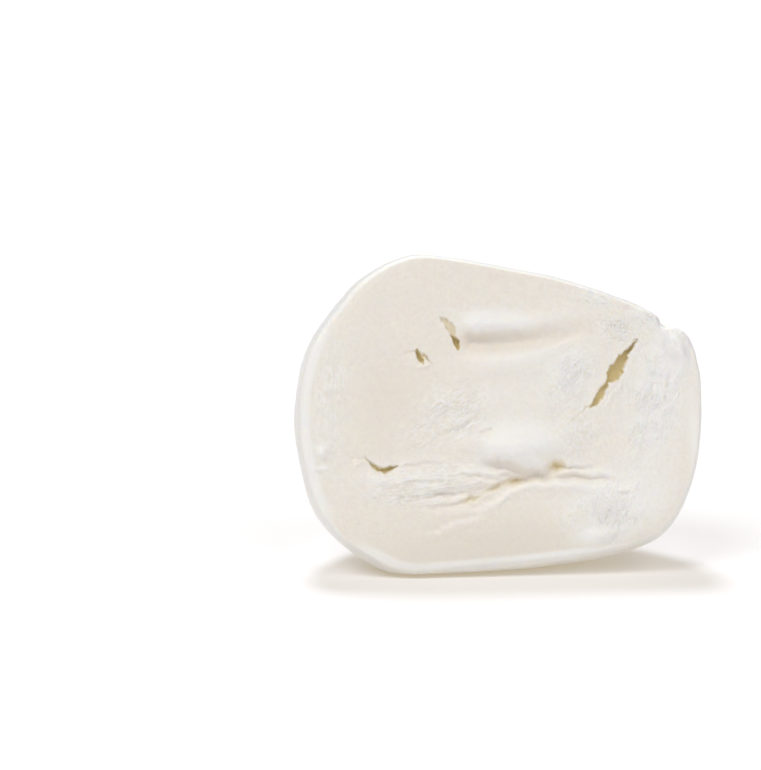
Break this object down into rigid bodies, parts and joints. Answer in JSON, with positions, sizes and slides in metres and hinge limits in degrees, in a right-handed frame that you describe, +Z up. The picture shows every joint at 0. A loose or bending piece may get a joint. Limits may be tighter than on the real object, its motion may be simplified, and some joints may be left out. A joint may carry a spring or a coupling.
{
  "type": "cut mozzarella ball",
  "caption": "A ball of fresh mozzarella cut open lengthwise, its torn and folded curd facing out, with the smooth skin and the knot behind.",
  "frame": {"origin": "middle of the box's floor, level with the flat spot the ball lies on", "axes": "+Z up, +X along the ball's length towards its knot, -Y out of the cut"},
  "size_m": [0.0702, 0.0382, 0.0534],
  "materials": {
    "curd": "moist, milky white curd, satin on the cut and glossier on the skin"
  },
  "bodies": {
    "root": {"mozzarella": "curd"}
  },
  "joints": []
}
